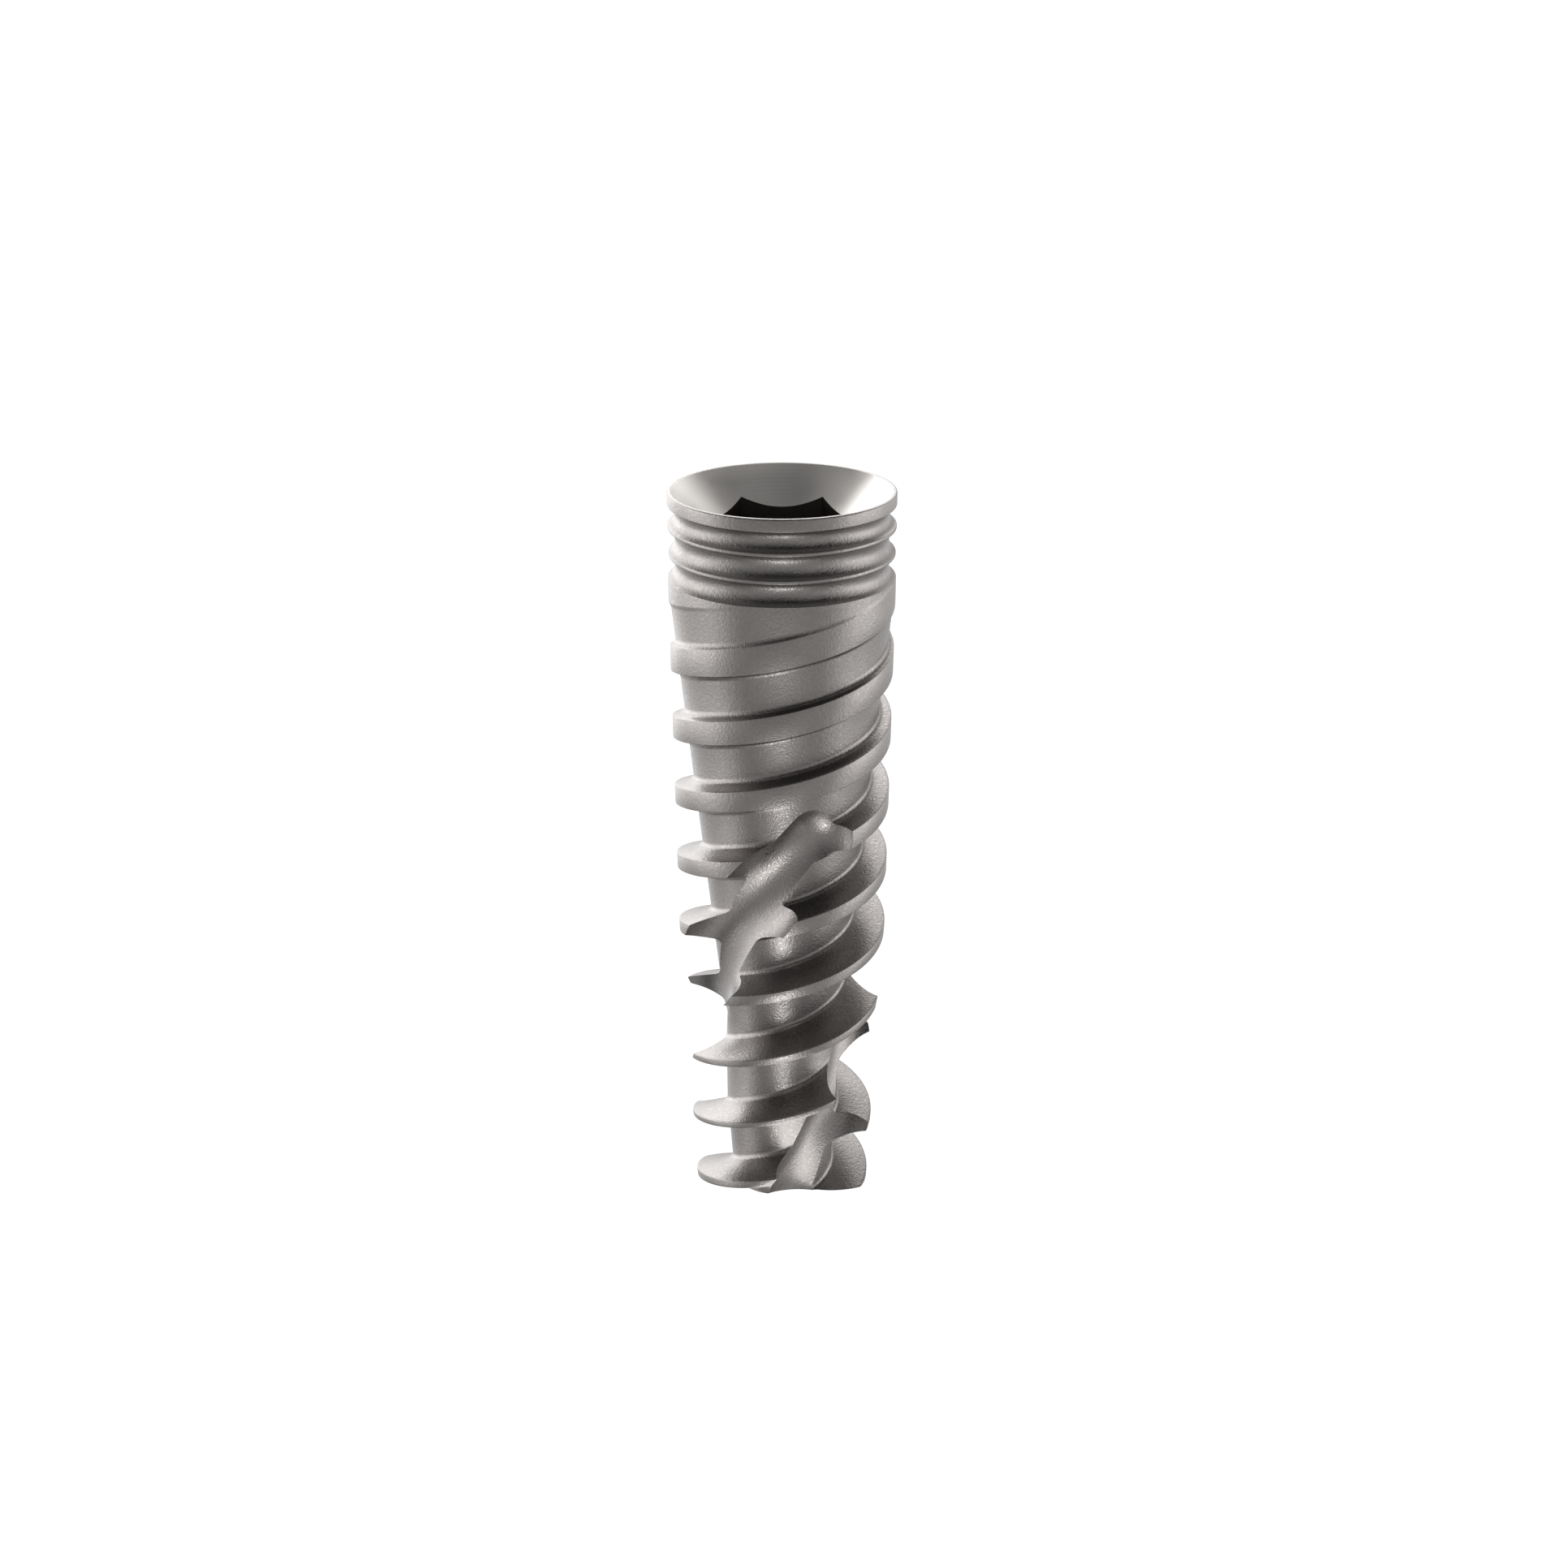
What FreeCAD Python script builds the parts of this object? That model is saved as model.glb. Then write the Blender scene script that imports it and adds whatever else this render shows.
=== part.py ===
import FreeCAD, Part
import math
import os

os.makedirs("parts", exist_ok=True)

# Dental implant, turned and milled from one bar of titanium
# Millimetres; Z is the axis, the origin is the centre of the flat apex, the prosthetic end is at the top

# Overall sizes
total_length = 12.83
platform_radius = 1.925
rim_edge_round = 0.03

# Outside of the blank before the thread is cut: apex, waist of the taper and neck
apex_crest_radius = 1.542
waist_height = 4.97
waist_crest_radius = 1.809
neck_height = 11.03
neck_radius = 1.92

# Three round-bottomed grooves about the collar, and the plain band under the rim
groove_bottom_edge = 11.352
ridge_low_height = 11.77
ridge_high_height = 12.235
band_bottom_edge = 12.614
ridge_low_radius = 1.91
ridge_high_radius = 1.922
ridge_width = 0.05
collar_groove_radius = 1.797

# Bone thread: two starts, right hand, square crests at the neck and thin fins at the apex
thread_starts = 2
thread_lead = 2.47
crest_pitch = thread_lead / thread_starts
crest_height_at_start = 0.037
start_angle = 180.0
flank_angle = 15.0
flank_slope = math.tan(math.radians(flank_angle))
thin_crest_width = 0.10
thin_crest_height = 2.43
crest_width_gain = 0.0488
apex_thickening = 0.06
apex_thickening_height = 1.33
root_round = 0.11
thread_overcut = 0.15
sections_per_turn = 16
thread_tool_bottom = -1.3
thread_tool_top = 12.1

# Core of the thread: stem at the apex, cone above, running out into the neck
apex_root_radius = 0.865
stem_low_height = 1.53
stem_low_radius = 0.985
stem_high_height = 3.13
stem_high_radius = 1.0
cone_top_height = 11.23
cone_top_radius = neck_radius

# Two cutting flutes, opposite each other, milled with a ball tool along a steep helix
flute_count = 2
flute_lead = 14.0
flute_start_angle = 101.2
flute_tool_radius = 0.72
flute_floor_at_apex = 0.70
flute_floor_slope = 0.083
flute_tool_bottom = -1.6
flute_end_height = 7.13
flute_sweep_height = 6.1
flute_end_sweep = 5.0
flute_path_steps = 24

# Socket for the abutment: lead-in cone, hexagon, then the bore for the abutment screw
rim_land_width = 0.067
socket_cone_slope = 0.945
hex_across_flats = 2.42
hex_sides = 6
hex_depth = 2.2
screw_thread_diameter = 1.85
screw_thread_pitch = 0.353
screw_bore_radius = (screw_thread_diameter - screw_thread_pitch) / 2.0
screw_bore_depth = 6.6
screw_bore_lead_in = 0.10
drill_point_angle = 118.0

axis = FreeCAD.Vector(0, 0, 1)
down = FreeCAD.Vector(0, 0, -1)
origin = FreeCAD.Vector(0, 0, 0)


# Straight line between two known points
def between(value, low, high, low_result, high_result):
    share = (value - low) / (high - low)
    return low_result + share * (high_result - low_result)


# Radius of the thread crest at a height
def crest_radius(height):
    if height < waist_height:
        return between(height, 0.0, waist_height, apex_crest_radius, waist_crest_radius)
    if height < neck_height:
        return between(height, waist_height, neck_height, waist_crest_radius, neck_radius)
    return neck_radius


# Radius of the thread root at a height
def root_radius(height):
    if height < stem_low_height:
        return between(height, 0.0, stem_low_height, apex_root_radius, stem_low_radius)
    if height < stem_high_height:
        return between(height, stem_low_height, stem_high_height, stem_low_radius, stem_high_radius)
    return between(height, stem_high_height, cone_top_height, stem_high_radius, cone_top_radius)


# Width of the flat on the thread crest at a height
def crest_width(height):
    return thin_crest_width + crest_width_gain * max(0.0, height - thin_crest_height)


# Extra thickness on the upper side of the crest in the last turn at the apex
def apex_extra(height):
    return apex_thickening * max(0.0, 1.0 - height / apex_thickening_height)


# Point of the part at a radius, an angle in degrees and a height
def place(radius, angle, height):
    turn = math.radians(angle)
    return FreeCAD.Vector(radius * math.cos(turn), radius * math.sin(turn), height)


# Start, middle and end of the arc that rounds a corner, all in radius and height
def rounded_corner(before, corner, after, size):
    to_before = FreeCAD.Vector(before[0] - corner[0], before[1] - corner[1], 0).normalize()
    to_after = FreeCAD.Vector(after[0] - corner[0], after[1] - corner[1], 0).normalize()
    half_angle = to_before.getAngle(to_after) / 2.0
    tip = FreeCAD.Vector(corner[0], corner[1], 0)
    inward = (to_before + to_after).normalize()
    setback = size / math.tan(half_angle)
    reach = size / math.sin(half_angle) - size
    arc = [tip + to_before * setback, tip + inward * reach, tip + to_after * setback]
    return [(point.x, point.y) for point in arc]


# Outline of the cut between two crests of the thread, in the plane at an angle
def thread_section(angle, centre_height):
    crest_below = centre_height - crest_pitch / 2.0
    crest_above = centre_height + crest_pitch / 2.0
    low_edge = crest_below + crest_width(crest_below) / 2.0 + apex_extra(crest_below)
    high_edge = crest_above - crest_width(crest_above) / 2.0
    low_crest = crest_radius(low_edge)
    high_crest = crest_radius(high_edge)
    low_root = root_radius(low_edge)
    high_root = root_radius(high_edge)
    outside = max(low_crest, high_crest, low_root + root_round, high_root + root_round) + thread_overcut
    low_outer = (outside, low_edge + flank_slope * (low_crest - outside))
    low_corner = (low_root, low_edge + flank_slope * (low_crest - low_root))
    high_corner = (high_root, high_edge - flank_slope * (high_crest - high_root))
    high_outer = (outside, high_edge - flank_slope * (high_crest - outside))
    low_arc = rounded_corner(low_outer, low_corner, high_corner, root_round)
    high_arc = rounded_corner(low_corner, high_corner, high_outer, root_round)
    outline = [low_outer] + low_arc + high_arc + [high_outer]
    corners = [place(radius, angle, height) for radius, height in outline]
    edges = [
        Part.makeLine(corners[0], corners[1]),
        Part.Arc(corners[1], corners[2], corners[3]).toShape(),
        Part.makeLine(corners[3], corners[4]),
        Part.Arc(corners[4], corners[5], corners[6]).toShape(),
        Part.makeLine(corners[6], corners[7]),
        Part.makeLine(corners[7], corners[0]),
    ]
    return Part.Wire(edges)


# Tools that cut the thread groove of one start, one tool for each turn of the helix
def thread_tools():
    first_turn = math.floor(thread_tool_bottom / thread_lead)
    last_turn = math.ceil(thread_tool_top / thread_lead)
    tools = []
    for turn in range(first_turn, last_turn):
        sections = []
        for step in range(sections_per_turn + 1):
            turns = turn + step / sections_per_turn
            height = crest_height_at_start + crest_pitch / 2.0 + thread_lead * turns
            sections.append(thread_section(start_angle + 360.0 * turns, height))
        tools.append(Part.makeLoft(sections, True, False))
    return tools


# Angle of the flute at a height; it sweeps further round where the tool leaves the metal
def flute_angle(height):
    share = max(0.0, height - flute_sweep_height) / (flute_end_height - flute_sweep_height)
    return flute_start_angle + 360.0 * height / flute_lead + flute_end_sweep * share * share


# Tool that cuts one flute, with a ball end at the top
def flute_tool():
    centres = []
    for step in range(flute_path_steps + 1):
        height = between(step, 0, flute_path_steps, flute_tool_bottom, flute_end_height)
        floor = flute_floor_at_apex + flute_floor_slope * height
        centres.append(place(floor + flute_tool_radius, flute_angle(height), height))
    curve = Part.BSplineCurve()
    curve.interpolate(centres)
    direction = curve.tangent(curve.FirstParameter)[0]
    circle = Part.Wire(Part.makeCircle(flute_tool_radius, centres[0], direction))
    swept = Part.Wire(curve.toShape()).makePipeShell([circle], True, True)
    ball = Part.makeSphere(flute_tool_radius, centres[-1])
    return swept.fuse(ball)


# Half section of the blank in the XZ plane, turned about the axis
def turned_blank():
    half_ridge = ridge_width / 2.0
    corner = rim_edge_round * (1.0 - math.sqrt(0.5))
    groove_arcs = [
        (neck_radius, groove_bottom_edge, ridge_low_radius, ridge_low_height - half_ridge),
        (ridge_low_radius, ridge_low_height + half_ridge, ridge_high_radius, ridge_high_height - half_ridge),
        (ridge_high_radius, ridge_high_height + half_ridge, platform_radius, band_bottom_edge),
    ]
    line = [place(0, 0, 0), place(apex_crest_radius, 0, 0)]
    line.append(place(waist_crest_radius, 0, waist_height))
    line.append(place(neck_radius, 0, neck_height))
    line.append(place(neck_radius, 0, groove_bottom_edge))
    edges = [Part.makeLine(line[number], line[number + 1]) for number in range(len(line) - 1)]
    reached = line[-1]
    for low_radius, low_height, high_radius, high_height in groove_arcs:
        low_point = place(low_radius, 0, low_height)
        if low_point.distanceToPoint(reached) > half_ridge:
            edges.append(Part.makeLine(reached, low_point))
        floor = place(collar_groove_radius, 0, (low_height + high_height) / 2.0)
        reached = place(high_radius, 0, high_height)
        edges.append(Part.Arc(low_point, floor, reached).toShape())
    band_top = place(platform_radius, 0, total_length - rim_edge_round)
    round_middle = place(platform_radius - corner, 0, total_length - corner)
    land_edge = place(platform_radius - rim_edge_round, 0, total_length)
    top_centre = place(0, 0, total_length)
    edges.append(Part.makeLine(reached, band_top))
    edges.append(Part.Arc(band_top, round_middle, land_edge).toShape())
    edges.append(Part.makeLine(land_edge, top_centre))
    edges.append(Part.makeLine(top_centre, line[0]))
    return Part.Face(Part.Wire(edges)).revolve(origin, axis, 360)


# Tools that cut the socket from the top
def socket_tools():
    top_centre = place(0, 0, total_length)
    cone_radius = platform_radius - rim_land_width
    cone = Part.makeCone(cone_radius, 0.0, cone_radius * socket_cone_slope, top_centre, down)
    corner_radius = hex_across_flats / (2.0 * math.cos(math.pi / hex_sides))
    corner_angle = 360.0 / hex_sides
    corners = [place(corner_radius, corner_angle * number, total_length) for number in range(hex_sides + 1)]
    hexagon = Part.Face(Part.makePolygon(corners)).extrude(down * hex_depth)
    hex_floor = place(0, 0, total_length - hex_depth)
    lead_in_radius = screw_bore_radius + screw_bore_lead_in
    lead_in = Part.makeCone(lead_in_radius, screw_bore_radius, screw_bore_lead_in, hex_floor, down)
    bore = Part.makeCylinder(screw_bore_radius, screw_bore_depth, top_centre, down)
    bore_floor = place(0, 0, total_length - screw_bore_depth)
    point_depth = screw_bore_radius / math.tan(math.radians(drill_point_angle / 2.0))
    drill_point = Part.makeCone(screw_bore_radius, 0.0, point_depth, bore_floor, down)
    return [cone, hexagon, lead_in, bore, drill_point]


# Cut a tool from the body as many times as it is spaced about the axis
def cut_round(body, tool, count):
    for number in range(count):
        turned = tool.copy()
        turned.rotate(origin, axis, 360.0 * number / count)
        body = body.cut(turned)
    return body


implant = turned_blank()
for groove_tool in thread_tools():
    implant = cut_round(implant, groove_tool, thread_starts)
implant = cut_round(implant, flute_tool(), flute_count)
for socket_tool in socket_tools():
    implant = implant.cut(socket_tool)
implant = implant.Solids[0]
print("valid", implant.isValid(), "volume", round(implant.Volume, 3), "faces", len(implant.Faces))
implant.exportStep("parts/implant_body.step")
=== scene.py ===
import math

import bmesh
import bpy
from bpy.props import FloatProperty, FloatVectorProperty, IntProperty, PointerProperty
from mathutils import Matrix, Vector


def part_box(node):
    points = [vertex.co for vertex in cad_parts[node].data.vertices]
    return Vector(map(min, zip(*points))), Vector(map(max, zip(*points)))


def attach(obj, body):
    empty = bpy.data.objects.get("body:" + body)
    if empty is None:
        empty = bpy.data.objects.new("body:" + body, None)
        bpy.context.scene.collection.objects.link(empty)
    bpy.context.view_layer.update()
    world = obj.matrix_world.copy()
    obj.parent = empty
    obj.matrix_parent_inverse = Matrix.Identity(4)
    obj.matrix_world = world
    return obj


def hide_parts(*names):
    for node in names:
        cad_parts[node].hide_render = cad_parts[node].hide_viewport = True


bl_info = {
    "name": "Dental implant",
    "version": (1, 0, 0),
    "blender": (4, 5, 0),
    "location": "3D View > Sidebar > Implant",
    "description": "Threaded titanium tooth root with cutting flutes, a grooved collar and a hexagonal socket",
    "category": "Object",
}

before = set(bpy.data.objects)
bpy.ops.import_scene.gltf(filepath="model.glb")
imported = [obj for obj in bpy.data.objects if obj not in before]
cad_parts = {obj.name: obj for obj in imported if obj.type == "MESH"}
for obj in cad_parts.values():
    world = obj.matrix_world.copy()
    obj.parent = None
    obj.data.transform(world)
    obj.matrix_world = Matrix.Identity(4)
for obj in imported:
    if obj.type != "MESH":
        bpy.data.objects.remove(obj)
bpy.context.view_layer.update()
NODE = "implant_body"
LOW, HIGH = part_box(NODE)

MM = 0.001
MICRON = 0.001 * MM
SAME_POINT = 0.2 * MICRON  # points of a mesh that lie nearer than this are joined

# Fineness of the meshes
THREAD_COLUMNS = 144
COLLAR_SEGMENTS = 192
TOOL_SEGMENTS = 72
FLUTE_STEPS = 120
SCREW_ROWS = 168
GROOVE_STEPS = 16
RIM_STEPS = 6
BEVEL_STEPS = 8
SOFT_STEPS = 4
FLOOR_SEGMENTS = 64

# Rows of the thread's grid in one pitch, from crest to crest: crest, soft edge, flank, fillet, floor and back
ROW_STOPS = (0, 1, 4, 7, 12, 14, 19, 22, 25, 26)
ROWS_PER_PITCH = ROW_STOPS[-1]
# The grid starts one pitch below the first crest, and both its ends are cut off square
FIRST_PITCH = -1.0
PITCHES = 12

FLUTE_TOOL_BOTTOM = -1.6 * MM  # below the apex, so that the tool cuts right through it
BALL_SHARE = 0.999  # the ball is this much of the bar's radius, so that their surfaces don't coincide

# Plug of the collar, which lies inside the body, and how far the two overlap where they meet
PLUG_RADIUS = 1.6 * MM
PLUG_FOOT = 10.4 * MM
LAP = 2 * MICRON
MOST_OF_A_SIDE = 0.45  # the share of a side that one softened corner may take

HEXAGON_SIDES = 6
HEXAGON_ABOVE_RIM = 1 * MM
SCREW_LEAD_IN = 0.1 * MM
# Internal thread: depth gained in one pitch of travel up a flank, and the part of it cut off as a flat
SCREW_FLANK = 3.2
SCREW_FLAT = 0.3
SCREW_THREAD_ABOVE_FLOOR = 0.2 * MM
SCREW_THREAD_INTO_HEXAGON = 0.05 * MM
BORE_TOOL_INTO_HEXAGON = 0.4 * MM

# The three finishes, in the order of the body's material slots
OUTSIDE, BEVEL, INSIDE = range(3)
ON_BEVEL = 5 * MICRON  # a face whose middle lies this near the cone of the bevel belongs to it
SHARP_EDGE = math.radians(30)

# Width of what each finish's pattern draws on the metal
GRIT_PIT = 0.06 * MM
ETCHED_FACET = 0.035 * MM
BLASTED_PATCH = 0.7 * MM
BLASTED_EDGE = 0.014 * MM
TURNED_RING = 0.06 * MM
TURNED_SMEAR = 0.5 * MM
BROACH_MARK = 0.02 * MM
BROACH_SQUEEZE = 0.08  # the marks are as long as their width divided by this
BRIGHT_FACETS = (0.8, 1.0)  # the lots that a facet draws to be dull or full bright
NOISE_SPAN = (0.3, 0.7)  # most values of a noise lie between these
DRILL_POINT_REACH = 1.2  # nothing of the bore lies deeper than this many times its depth

# Light table: radius and height of its rings, in metres. It lies flat under the implant and turns up far away
TABLE_RINGS = ((0, 0), (0.1, 0), (0.42, 0), (0.48, 0.02), (0.5, 0.07), (0.5, 0.32))
TABLE_GLOW = 1.1

# Camera at the photo's place and angle, level turned down by the tilt
CAMERA_PLACE = (0, -43.7866 * MM, 24.1042 * MM)
CAMERA_TILT = 0.3607
CAMERA_LENS = 61.946
CAMERA_SENSOR = 36
CAMERA_SHIFT = 0.001294
CAMERA_NEAR = 1 * MM
CAMERA_FAR = 5


def size(name, description, millimetres):
    """A length that a user may change, kept in metres."""
    return FloatProperty(
        name=name, description=description, default=millimetres * MM, subtype="DISTANCE", unit="LENGTH", precision=6
    )


def turn(name, description, degrees):
    """An angle that a user may change."""
    return FloatProperty(name=name, description=description, default=math.radians(degrees), subtype="ANGLE")


def linear(code):
    """Linear colour of an sRGB hex value."""
    parts = [int(code[at : at + 2], 16) / 255 for at in (1, 3, 5)]
    return tuple(p / 12.92 if p <= 0.04045 else ((p + 0.055) / 1.055) ** 2.4 for p in parts)


def colour(name, description, code):
    """A colour that a user may change, stored as linear light."""
    return FloatVectorProperty(
        name=name, description=description, default=linear(code), subtype="COLOR", size=3, min=0, max=1
    )


class ImplantThreadSizes(bpy.types.PropertyGroup):
    lead: size("Lead", "Climb of the bone thread in one turn", 2.47)
    starts: IntProperty(name="Starts", description="Number of thread starts", default=2, min=1, max=4)
    crest_at_start: size("First crest", "Height of a crest at the left side of the apex", 0.037)
    start_turn: turn("Start angle", "Where the first crest height is measured, from +X", 180)
    flank: turn("Flank angle", "Lean of each flank from the level", 15)
    crest_width: size("Thin crest", "Width of the crest at the apex", 0.10)
    crest_grows_from: size("Crest widens from", "Height above which the crest widens", 2.43)
    crest_gain: FloatProperty(name="Crest gain", description="Width gained for each unit of height", default=0.0488)
    apex_extra: size("Apex thickening", "Extra thickness of the last turn, at the foot", 0.06)
    apex_extra_to: size("Thickening ends", "Height at which the extra thickness has gone", 1.33)
    root_round: size("Root radius", "Fillet at the foot of each flank", 0.11)
    crest_soft: size("Crest softness", "How far blasting has rounded the crest edges", 0.05)
    apex_crest: size("Apex radius", "Crest radius at the foot", 1.542)
    waist_height: size("Waist height", "Height where the taper changes", 4.97)
    waist_crest: size("Waist radius", "Crest radius at the waist", 1.809)
    neck_height: size("Neck height", "Height where the taper ends", 11.03)
    neck: size("Neck radius", "Radius of the neck", 1.92)
    apex_root: size("Stem foot radius", "Core radius at the foot", 0.865)
    stem_low_height: size("Stem start", "Height where the stem becomes slim and straight", 1.53)
    stem_low: size("Stem radius, low", "Core radius there", 0.985)
    stem_high_height: size("Stem end", "Height where the core starts to widen", 3.13)
    stem_high: size("Stem radius, high", "Core radius there", 1.0)
    cone_top_height: size("Run-out", "Height where the core reaches the neck", 11.23)


class ImplantFluteSizes(bpy.types.PropertyGroup):
    count: IntProperty(name="Flutes", description="Number of cutting flutes", default=2, min=1, max=4)
    lead: size("Lead", "Climb of a flute in one turn", 14.0)
    start_turn: turn("Start angle", "Angle of the first flute at the foot, from +X", 101.2)
    tool: size("Tool radius", "Radius of the ball tool", 0.72)
    floor: size("Floor", "Distance of the flute floor from the axis at the foot", 0.70)
    slope: FloatProperty(name="Floor slope", description="Rise of the floor for each unit of height", default=0.083)
    end: size("End height", "Height where the tool leaves the metal", 7.13)
    sweep_from: size("Sweep start", "Height above which the tool swings further round", 6.1)
    sweep: turn("Sweep", "Extra turn at the end", 5)


class ImplantCollarSizes(bpy.types.PropertyGroup):
    platform: size("Platform radius", "Radius of the collar at the rim", 1.925)
    rim_round: size("Rim edge", "Rounding of the outer edge of the rim", 0.03)
    land: size("Land", "Width of the flat on the rim", 0.067)
    cone_slope: FloatProperty(name="Bevel slope", description="Fall of the bevel for each unit inward", default=0.945)
    low_edge: size("Groove start", "Height of the lowest groove's edge", 11.352)
    ridge_low: size("Lower ridge", "Height of the lower ridge", 11.77)
    ridge_high: size("Upper ridge", "Height of the upper ridge", 12.235)
    band: size("Band", "Height of the band's lower edge", 12.614)
    ridge_low_radius: size("Lower ridge radius", "Radius of the lower ridge", 1.91)
    ridge_high_radius: size("Upper ridge radius", "Radius of the upper ridge", 1.922)
    ridge_width: size("Ridge width", "Flat width of each ridge", 0.05)
    floor: size("Groove floor", "Radius at the bottom of the grooves", 1.797)
    edge_soft: size("Edge softness", "Rounding left by the blasting on each ridge", 0.012)


class ImplantSocketSizes(bpy.types.PropertyGroup):
    flats: size("Hexagon", "Width across the flats of the hexagon", 2.42)
    depth: size("Hexagon depth", "Depth of the hexagon below the rim", 2.2)
    screw: size("Screw thread", "Outer diameter of the abutment screw's thread", 1.85)
    screw_pitch: size("Screw pitch", "Pitch of the abutment screw's thread", 0.353)
    bore_depth: size("Bore depth", "Depth of the screw bore below the rim", 6.6)
    drill_point: turn("Drill point", "Angle of the drill point at the foot of the bore", 118)


class ImplantFinish(bpy.types.PropertyGroup):
    blasted: colour("Blasted titanium", "Grit-blasted and acid-etched outside", "#8a8684")
    blasted_bright: colour("Etched grain", "Brighter grains of the etched surface", "#b8b5b2")
    turned: colour("Turned titanium", "Bare machined bevel", "#dcd8d4")
    # Darker than bare titanium: this colour holds painted shade for the deep hexagon and bore
    broached: colour("Broached titanium", "Hexagon and screw bore", "#5a5653")
    floor: colour("Floor", "Pale studio floor", "#ffffff")


def add(tree, kind, *values, **settings):
    """Adds one node, gives it its settings and its inputs; a node or a socket given as a value is linked."""
    made = tree.nodes.new(kind)
    named = settings.pop("inputs", {})
    for name, value in settings.items():
        setattr(made, name, value)
    for key, value in [*enumerate(values), *named.items()]:
        if isinstance(value, bpy.types.Node):
            value = value.outputs[0]
        if isinstance(value, bpy.types.NodeSocket):
            tree.links.new(value, made.inputs[key])
        else:
            made.inputs[key].default_value = value
    return made


def work_out(tree, at, *steps):
    """Adds a calculation; a step has the name of its result, what it does, and its values as names or numbers."""
    for name, operation, *values in steps:
        values = [at[value] if isinstance(value, str) else value for value in values]
        if operation == "MAP":
            at[name] = add(tree, "ShaderNodeMapRange", *values)
        else:
            at[name] = add(tree, "ShaderNodeMath", *values, operation=operation)


def named_sizes(kept, *left_out):
    """The user's sizes by the names of a node group's inputs, so waist_height is "Waist height"."""
    names = [name for name in kept.__annotations__ if name not in left_out]
    return {name.replace("_", " ").capitalize(): getattr(kept, name) for name in names}


def new_shape_tree(name, sizes):
    """Geometry node group with one named input for each size, and those inputs by their names."""
    tree = bpy.data.node_groups.new(name, "GeometryNodeTree")
    face = tree.interface
    face.new_socket("Geometry", in_out="OUTPUT", socket_type="NodeSocketGeometry")
    for label, value in sizes.items():
        kind = {int: "NodeSocketInt", bpy.types.Material: "NodeSocketMaterial"}.get(type(value), "NodeSocketFloat")
        face.new_socket(label, in_out="INPUT", socket_type=kind)
    return tree, {socket.name: socket for socket in tree.nodes.new("NodeGroupInput").outputs if socket.name}


def flat_grid(tree, at):
    """Grid of Columns by Rows cells; turn and up say how far round and up each point lies, from 0 to 1."""
    place = add(tree, "ShaderNodeSeparateXYZ", add(tree, "GeometryNodeInputPosition"))
    at.update({"x": place.outputs[0], "y": place.outputs[1]})
    work_out(
        tree,
        at,
        ("last column", "ADD", "Columns", 1.0),
        ("last row", "ADD", "Rows", 1.0),
        ("turn", "ADD", "x", 0.5),
        ("up", "ADD", "y", 0.5),
    )
    return add(tree, "GeometryNodeMeshGrid", 1.0, 1.0, at["last column"], at["last row"])


def about_axis(tree, at, flat):
    """The flat shape with each point moved to its radius r, angle and height z about the axis."""
    work_out(
        tree,
        at,
        ("cos", "COSINE", "angle"),
        ("sin", "SINE", "angle"),
        ("cos", "MULTIPLY", "cos", "r"),
        ("sin", "MULTIPLY", "sin", "r"),
    )
    spot = add(tree, "ShaderNodeCombineXYZ", at["cos"], at["sin"], at["z"])
    return add(tree, "GeometryNodeSetPosition", flat, inputs={"Position": spot})


def finish_shape_tree(tree, geometry, material):
    """Ends the tree in real, smooth mesh with its material."""
    real = add(tree, "GeometryNodeRealizeInstances", geometry)
    painted = add(tree, "GeometryNodeSetMaterial", real, inputs={"Material": material})
    tree.links.new(painted.outputs[0], tree.nodes.new("NodeGroupOutput").inputs[0])


def grown_mesh(name, tree, sizes):
    """Plain mesh that a geometry node group gives with these sizes."""
    holder = bpy.data.objects.new(name, bpy.data.meshes.new(name))
    bpy.context.scene.collection.objects.link(holder)
    grower = holder.modifiers.new(name, "NODES")
    grower.node_group = tree
    for item in tree.interface.items_tree:
        if item.in_out == "INPUT":
            grower[item.identifier] = sizes[item.name]
    found = bpy.data.meshes.new_from_object(holder.evaluated_get(bpy.context.evaluated_depsgraph_get()))
    empty = holder.data
    bpy.data.objects.remove(holder)
    bpy.data.meshes.remove(empty)
    found.name = name
    return found


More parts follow.
